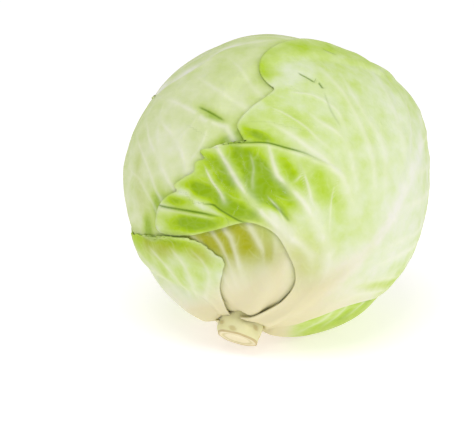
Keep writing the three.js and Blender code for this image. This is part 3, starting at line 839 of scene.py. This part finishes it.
def make_leaf(leaf, index):
    mesh, u, v = leaf_grid(leaf)
    x, y = leaf_point(leaf, u, v).T
    xm, ym = x * DEGREE_MM, y * DEGREE_MM
    seed = int(leaf["seed"] * 10)
    direction = to_direction(leaf, x, y)
    layer = layers_at(direction, index)[index]
    edge = layer["inside"]
    over = cover_distance(direction, index)
    bare = 1 - smooth(over, -3, -0.4)
    off_table = smooth(direction[:, 2], -0.85, -0.6)

    veins = leaf.get("veins") or row_veins(leaf)
    root = leaf.get("root", VEIN_ROOT)
    vein, vein_near, halo = vein_field(x, y, veins, VEIN_STEPS, root, VEINS_APART)
    small = twigs(veins, seed)
    twig, twig_near, twig_halo = vein_field(x, y, small, TWIG_STEPS, TWIG_ROOT, TWIGS_APART)
    folds, crease, crease_shadow_strength, lip_highlight_strength = fold_fields(leaf, x, y)
    blister = noise(xm, ym, 16, seed) * 0.6 + noise(xm, ym, 8, seed + 1) * 0.4
    patches = patch_field(x, y, leaf.get("patches", []))

    between = BLISTER_RISE * blister - PATCH_SINK * np.clip(patches, 0, 1)
    relief = VEIN_RISE * halo + TWIG_RISE * twig_halo + between * (1 - halo)
    relief = (relief + folds) * bare * off_table
    curl = CURL_RISE * smooth(edge, 5, 0) * (0.5 + 0.5 * noise(xm + ym, ym - xm, 30, seed + 2))
    curl = curl * bare * leaf.get("curl", 1) * off_table

    # At its margin a leaf thins down to its blade and settles on the leaf below
    lowest = layer["under"] + BLADE
    height = lowest + (layer["top"] - lowest) * smooth(edge, 0.5, 7)
    height += relief * smooth(edge, -1, 2) + curl
    places = CENTRE + direction * (heart_radius(direction) + height)[:, None]
    places[:, 2] = np.maximum(places[:, 2], 0)
    set_places(mesh, places)

    # Greener towards the tip, and beside the next leaf as painted shade; paler on the midrib and
    # at the foot
    middle = layer["white"] * leaf.get("pale_midrib", 1)
    foot = smooth(v, leaf.get("foot", 0.3), 0.03)
    green = leaf["green"] + 0.14 * smooth(v, 0.2, 1) - 0.4 * middle + 0.1 * blister - 0.3 * foot
    green += patches + 0.15 * smooth(over, -5, 0)
    # Golden yellow-green near the foot, deepened as painted shade in the hollows
    gold_and_shade = np.clip(patch_field(x, y, leaf.get("gold_and_shade_patches", [])), 0, 1)
    # A painted highlight along the margin
    rim = leaf.get("rim", 0.3) * smooth(edge, 1.6, 0.2)
    rim = rim * (0.6 + 0.4 * noise(xm, ym, 7, seed + 5))
    fields = {
        "green": np.clip(green, 0, 1),
        "cream": np.clip(foot + 0.8 * middle * smooth(v, 0.7, 0.1), 0, 1),
        "gold_and_shade": gold_and_shade,
        "shade": np.clip(leaf.get("shaded", 0.2) * smooth(over, -2.2, 0.2), 0, 1),
        # The veins' own pale halo, and the painted highlight along the margin
        "pale": np.clip((0.4 * halo + rim) * (1 - 0.8 * gold_and_shade), 0, 1),
        "vein": vein,
        "vein_near": vein_near,
        "twig": twig,
        "twig_near": twig_near,
        "crease": np.clip(crease, -8, 8),
        "crease_shadow_strength": crease_shadow_strength,
        "lip_highlight_strength": lip_highlight_strength,
    }
    for name, values in fields.items():
        add_field(mesh, name, values)
    add_flat(mesh, "flat", xm, ym)

    piece = add_piece(leaf["name"], mesh, leaf_material(leaf, fields))
    wall = piece.modifiers.new("Blade", "SOLIDIFY")
    wall.thickness = BLADE * MM
    wall.offset = -1
    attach(piece, "root")
    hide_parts(leaf["node"])


def linear(hex_colour):
    """An sRGB hex colour as linear RGBA."""
    channels = [int(hex_colour[i : i + 2], 16) / 255 for i in (1, 3, 5)]
    straight = [c / 12.92 if c <= 0.04045 else ((c + 0.055) / 1.055) ** 2.4 for c in channels]
    return straight + [1.0]


def add_node(tree, kind, settings=None, **links):
    """Adds a node, sets its properties, and fills or links its inputs: i0, i1 or by name."""
    node = tree.nodes.new(kind)
    for key, value in (settings or {}).items():
        setattr(node, key, value)
    for key, value in links.items():
        numbered = key[0] == "i" and key[1:].isdigit()
        socket = node.inputs[int(key[1:]) if numbered else key]
        if isinstance(value, bpy.types.NodeSocket):
            tree.links.new(value, socket)
        else:
            socket.default_value = value
    return node


def new_material(name, roughness):
    """Cabbage tissue: dull wax and a little light that passes through its outer cells."""
    material = bpy.data.materials.new(name)
    material.use_nodes = True
    tree = material.node_tree
    shader = tree.nodes["Principled BSDF"]
    shader.inputs["Roughness"].default_value = roughness
    shader.inputs["IOR"].default_value = 1.45
    shader.inputs["Specular IOR Level"].default_value = 0.18
    shader.inputs["Subsurface Weight"].default_value = 0.12
    shader.inputs["Subsurface Radius"].default_value = (1.0, 1.0, 0.35)
    shader.inputs["Subsurface Scale"].default_value = 0.003
    return material, tree, shader


def band(tree, value, centre, width, strength):
    """A soft band where the value is near the centre, as strong as the given field."""
    maths = "ShaderNodeMath"
    away = add_node(tree, maths, {"operation": "SUBTRACT"}, i0=value, i1=centre).outputs[0]
    share = add_node(tree, maths, {"operation": "DIVIDE"}, i0=away, i1=width).outputs[0]
    square = add_node(tree, maths, {"operation": "MULTIPLY"}, i0=share, i1=share).outputs[0]
    fall = add_node(tree, maths, {"operation": "MULTIPLY"}, i0=square, i1=-1.0).outputs[0]
    bell = add_node(tree, maths, {"operation": "EXPONENT"}, i0=fall).outputs[0]
    return add_node(tree, maths, {"operation": "MULTIPLY"}, i0=bell, i1=strength).outputs[0]


def paint(tree, shader, colour, masks, layers):
    """Lays each layer's colour over the ones before it: its mask, its share and its colour."""
    for name, share, top in layers:
        part = {"operation": "MULTIPLY"}
        amount = add_node(tree, "ShaderNodeMath", part, i0=masks[name], i1=share).outputs[0]
        mix = {"data_type": "RGBA"}
        top = linear(top)
        colour = add_node(tree, "ShaderNodeMix", mix, Factor=amount, i6=colour, i7=top).outputs[2]
    tree.links.new(colour, shader.inputs["Base Color"])


def emboss(tree, shader, height, masks, rises, strength, depth_mm):
    """Bumps the surface by a height and by the masks, each with its own rise."""
    scaled = {"operation": "MULTIPLY_ADD"}
    for name, rise in rises:
        sum_node = add_node(tree, "ShaderNodeMath", scaled, i0=masks[name], i1=rise, i2=height)
        height = sum_node.outputs[0]
    depth = depth_mm * MM
    bump = add_node(tree, "ShaderNodeBump", Strength=strength, Distance=depth, Height=height)
    tree.links.new(bump.outputs["Normal"], shader.inputs["Normal"])


# A leaf's colours from its white foot to its greenest blade
RAMPS = {
    "pale_leaf": ("#eceedb", "#dfe7bb", "#cddc95", "#b8cf60", "#98b824"),
    "green_leaf": ("#ecedde", "#dde8c0", "#c6dc7c", "#adce12", "#8cb000"),
}
# The lines on a leaf: the field, its middle and half width there, and the field of its strength
# The crease lines are painted shadow in the creases and slits, and the edge lines beside them a
# painted highlight
LEAF_LINES = {
    "vein_line": ("vein", 0.0, 0.8, "vein_near"),
    "twig_line": ("twig", 0.0, 1.1, "twig_near"),
    "crease_shadow": ("crease", -0.5, 0.75, "crease_shadow_strength"),
    "lip_highlight": ("crease", 1.5, 1.3, "lip_highlight_strength"),
}
# The cream of the leaf feet and midribs is their own colour, a little darkened as painted shade
LEAF_LAYERS = (
    ("cream", 1.0, "#e2dab0"),
    ("gold_and_shade", 1.0, "#a6aa00"),
    ("net", 0.06, "#d9e6a0"),
    ("pale", 1.0, "#eff0da"),
    ("twig_line", 0.13, "#e2ebb4"),
    ("vein_line", 0.65, "#f0f1da"),
    ("lip_highlight", 1.0, "#eef2cf"),
    ("shade", 1.0, "#93a520"),
    ("crease_shadow", 1.0, "#5f8208"),
)
LEAF_RISES = (
    ("grain", 0.5),
    ("net", 0.2),
    ("twig_line", 0.15),
    ("vein_line", 0.8),
    ("crease_shadow", -1.2),
)


def leaf_material(leaf, fields):
    """Fresh cabbage leaf: its wax bloom dulls the shine, and whitish veins net its pale green."""
    material, tree, shader = new_material("WaxyCabbageLeaf_" + leaf["name"], 0.45)
    masks = {}
    for name in fields:
        node = add_node(tree, "ShaderNodeAttribute", {"attribute_name": name})
        masks[name] = node.outputs["Fac"]
    for name, (field, centre, width, strength) in LEAF_LINES.items():
        masks[name] = band(tree, masks[field], centre, width, masks[strength])

    flat = add_node(tree, "ShaderNodeAttribute", {"attribute_name": "flat"}).outputs["Vector"]
    warp = add_node(tree, "ShaderNodeTexNoise", Vector=flat, Scale=0.09, Detail=2.0)
    scaled = {"operation": "MULTIPLY_ADD"}
    warped = warp.outputs["Color"]
    shifted = add_node(tree, "ShaderNodeVectorMath", scaled, i0=warped, i1=(6, 6, 6), i2=flat)
    cells = add_node(
        tree, "ShaderNodeTexVoronoi", {"feature": "DISTANCE_TO_EDGE"},
        Vector=shifted.outputs[0], Scale=1 / NET_MM,
    )
    masks["net"] = add_node(
        tree, "ShaderNodeMapRange", {"interpolation_type": "SMOOTHSTEP"},
        Value=cells.outputs["Distance"], i1=0.0, i2=0.25, i3=1.0, i4=0.0,
    ).outputs[0]
    grain = add_node(tree, "ShaderNodeTexNoise", Vector=flat, Scale=0.5, Detail=4.0)
    masks["grain"] = grain.outputs["Fac"]

    blotch = add_node(tree, "ShaderNodeTexNoise", Vector=flat, Scale=0.1, Detail=4.0)
    about = {"operation": "SUBTRACT"}
    uneven = add_node(tree, "ShaderNodeMath", about, i0=blotch.outputs["Fac"], i1=0.5).outputs[0]
    green = add_node(tree, "ShaderNodeMath", scaled, i0=uneven, i1=0.5, i2=masks["green"])
    ramp = add_node(tree, "ShaderNodeValToRGB", Fac=green.outputs[0])
    colours = [linear(colour) for colour in RAMPS[leaf["slot"]]]
    stops = ramp.color_ramp.elements
    stops[0].color = colours[0]
    stops[-1].position = 1.0
    stops[-1].color = colours[-1]
    for place, colour in zip((0.25, 0.5, 0.75), colours[1:-1]):
        stops.new(place).color = colour
    paint(tree, shader, ramp.outputs["Color"], masks, LEAF_LAYERS)
    emboss(tree, shader, 0.0, masks, LEAF_RISES, 0.35, 0.6)
    return material


def heart_material():
    """Packed inner leaves: pale, matt and moist, with faint fibres."""
    material, tree, shader = new_material("PackedInnerLeaf", 0.45)
    place = add_node(tree, "ShaderNodeTexCoord").outputs["Object"]
    grain = add_node(tree, "ShaderNodeTexNoise", Vector=place, Scale=260.0, Detail=4.0)
    masks = {"grain": grain.outputs["Fac"]}
    paint(tree, shader, linear("#eef0cf"), masks, (("grain", 1.0, "#dfe7b0"),))
    emboss(tree, shader, masks["grain"], masks, (), 0.2, 0.5)
    return material


STALK_LAYERS = (
    ("cloud", 1.0, "#dde0a4"),
    ("cut", 1.0, "#efe8c6"),
    ("ring", 0.65, "#c9bf7c"),
    ("dried", 0.7, "#b49a5c"),
    ("scar", 0.55, "#bca765"),
    ("fibre", 0.25, "#d8cd94"),
)


def stalk_material():
    """A cut stalk: fibrous skin, and a cream end with a woody ring and a dried edge."""
    material, tree, shader = new_material("CutStalkFlesh", 0.55)
    masks = {}
    for name in ("reach", "cut", "scar"):
        node = add_node(tree, "ShaderNodeAttribute", {"attribute_name": name})
        masks[name] = node.outputs["Fac"]
    place = add_node(tree, "ShaderNodeTexCoord").outputs["Object"]
    for name, scale, detail in (("fibre", 420.0, 5.0), ("cloud", 110.0, 3.0)):
        node = add_node(tree, "ShaderNodeTexNoise", Vector=place, Scale=scale, Detail=detail)
        masks[name] = node.outputs["Fac"]
    uneven = add_node(
        tree, "ShaderNodeMath", {"operation": "MULTIPLY_ADD"},
        i0=masks["cloud"], i1=2.4, i2=masks["reach"],
    ).outputs[0]
    masks["ring"] = band(tree, uneven, 9.6, 1.1, masks["cut"])
    masks["dried"] = band(tree, uneven, 13.2, 1.0, masks["cut"])
    paint(tree, shader, linear("#ece6bd"), masks, STALK_LAYERS)
    emboss(tree, shader, masks["fibre"], masks, (("ring", 0.8),), 0.4, 0.6)
    return material


def finish_piece(bm, name, node, material):
    bmesh.ops.recalc_face_normals(bm, faces=bm.faces)
    mesh = bpy.data.meshes.new(name)
    bm.to_mesh(mesh)
    bm.free()
    piece = add_piece(name, mesh, material)
    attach(piece, "root")
    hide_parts(node)


def make_heart():
    bm = bmesh.new()
    bmesh.ops.create_icosphere(bm, subdivisions=6, radius=1)
    direction = np.array([vertex.co[:] for vertex in bm.verts])
    direction /= np.linalg.norm(direction, axis=1)[:, None]
    from_stalk = np.degrees(np.arccos(np.clip(direction @ STALK_AXIS, -1, 1)))
    radius = heart_radius(direction) - HEART_DENT * smooth(from_stalk, 11, 9)
    places = CENTRE + direction * radius[:, None]
    places[:, 2] = np.maximum(places[:, 2], BLADE + LAYER_GAP)
    for vertex, place in zip(bm.verts, places):
        vertex.co = Vector(place * MM)
    finish_piece(bm, "Heart", "heart", heart_material())


# The stalk's profile: its radius and the distance from the head's centre
PROFILE = [
    (0, STALK_ROOT),
    (STALK_RADIUS, STALK_ROOT),
    (STALK_RADIUS, 83),
    (12.9, 89),
    (13.1, 93),
    (12.6, 96),
    (11.9, STALK_END),
    (0, STALK_END - 0.8),
]
CUT_EDGE = 1.2  # how far up its side the cut's colour reaches
SLANT = 0.9  # how far the cut's edge leans up or down


def make_stalk():
    """A stub round the stalk's axis, with leaf scars on its side and a slightly slanted cut."""
    bm = bmesh.new()
    corners = [bm.verts.new((radius, 0, height)) for radius, height in PROFILE]
    edges = [bm.edges.new(pair) for pair in zip(corners, corners[1:])]
    bmesh.ops.subdivide_edges(bm, edges=edges, cuts=7)
    bmesh.ops.spin(
        bm, geom=bm.verts[:] + bm.edges[:], axis=(0, 0, 1), cent=(0, 0, 0),
        angle=math.tau, steps=72, use_merge=True,
    )
    bmesh.ops.remove_doubles(bm, verts=bm.verts, dist=0.01)
    reach = bm.verts.layers.float.new("reach")
    cut = bm.verts.layers.float.new("cut")
    scar = bm.verts.layers.float.new("scar")
    turn = Vector((0, 0, 1)).rotation_difference(Vector(STALK_AXIS))
    for vertex in bm.verts:
        x, y, z = vertex.co
        round_it = math.atan2(y, x)
        wave = math.sin(3 * round_it + 0.7 * z) + 0.5 * math.sin(7 * round_it - 0.4 * z)
        out = float(smooth(z, STALK_ROOT, STALK_ROOT + 15))
        keep = 1 - 0.045 * (0.5 + 0.5 * wave) * out
        vertex[reach] = math.hypot(x, y)
        vertex[cut] = 1.0 if z > STALK_END - CUT_EDGE else 0.0
        vertex[scar] = (1 - vertex[cut]) * float(smooth(wave, 0.7, 1.3))
        slant = SLANT * x / STALK_RADIUS * float(smooth(z, 90, STALK_END))
        vertex.co = (turn @ Vector((x * keep, y * keep, z + slant)) + Vector(CENTRE)) * MM
    finish_piece(bm, "Stalk", "stalk", stalk_material())


IMAGE_WIDTH = 474
SENSOR_MM = 36
FOCAL_PIXELS = 1851.5
CAMERA_ELEVATION = 17
CAMERA_DISTANCE = 1.1
AIM_LEFT = 0.0229
AIM_DOWN = 0.0172
FLOOR_GLOW = 0.44  # a white table lit through from below
WORLD_LIGHT = 0.6


def make_camera():
    elevation = math.radians(CAMERA_ELEVATION)
    back = Vector((0, -math.cos(elevation), math.sin(elevation)))
    up = Vector((0, math.sin(elevation), math.cos(elevation)))
    centre = Vector(CENTRE) * MM
    data = bpy.data.cameras.new("Camera")
    data.sensor_width = SENSOR_MM
    data.lens = FOCAL_PIXELS / IMAGE_WIDTH * SENSOR_MM
    camera = bpy.data.objects.new("Camera", data)
    camera.location = centre + back * CAMERA_DISTANCE
    aim = centre - Vector((AIM_LEFT, 0, 0)) - up * AIM_DOWN
    camera.rotation_euler = (aim - camera.location).to_track_quat("-Z", "Y").to_euler()
    bpy.context.scene.collection.objects.link(camera)
    bpy.context.scene.camera = camera


def make_light(name, place, size, power):
    data = bpy.data.lights.new(name, "AREA")
    data.shape = "DISK"
    data.size = size
    data.energy = power
    light = bpy.data.objects.new(name, data)
    light.location = place
    aim = Vector(CENTRE) * MM
    light.rotation_euler = (aim - light.location).to_track_quat("-Z", "Y").to_euler()
    bpy.context.scene.collection.objects.link(light)


def make_floor():
    bm = bmesh.new()
    bmesh.ops.create_grid(bm, x_segments=1, y_segments=1, size=4)
    mesh = bpy.data.meshes.new("Floor")
    bm.to_mesh(mesh)
    bm.free()
    add_piece("Floor", mesh, floor_material())


def floor_material():
    """Matt white paper that glows a little, so that the head's shadow stays faint."""
    material = bpy.data.materials.new("MattWhitePaper")
    material.use_nodes = True
    shader = material.node_tree.nodes["Principled BSDF"]
    shader.inputs["Base Color"].default_value = linear("#e9e9ef")
    shader.inputs["Roughness"].default_value = 0.9
    shader.inputs["Emission Color"].default_value = linear("#fff6f9")
    shader.inputs["Emission Strength"].default_value = FLOOR_GLOW
    return material


def make_world():
    world = bpy.data.worlds.new("Studio")
    world.use_nodes = True
    background = world.node_tree.nodes["Background"]
    background.inputs["Color"].default_value = (1, 1, 1, 1)
    background.inputs["Strength"].default_value = WORLD_LIGHT
    bpy.context.scene.world = world


bpy.context.scene.view_settings.view_transform = "Standard"
make_camera()
make_world()
make_floor()
make_light("KeyLight", (-0.2, -1.0, 2.0), 1.3, 14.2)
make_light("FillLight", (1.6, -1.2, 0.9), 1.4, 7.5)

for leaf in LEAVES:
    prepare(leaf)
make_heart()
make_stalk()
for index, leaf in enumerate(LEAVES):
    make_leaf(leaf, index)
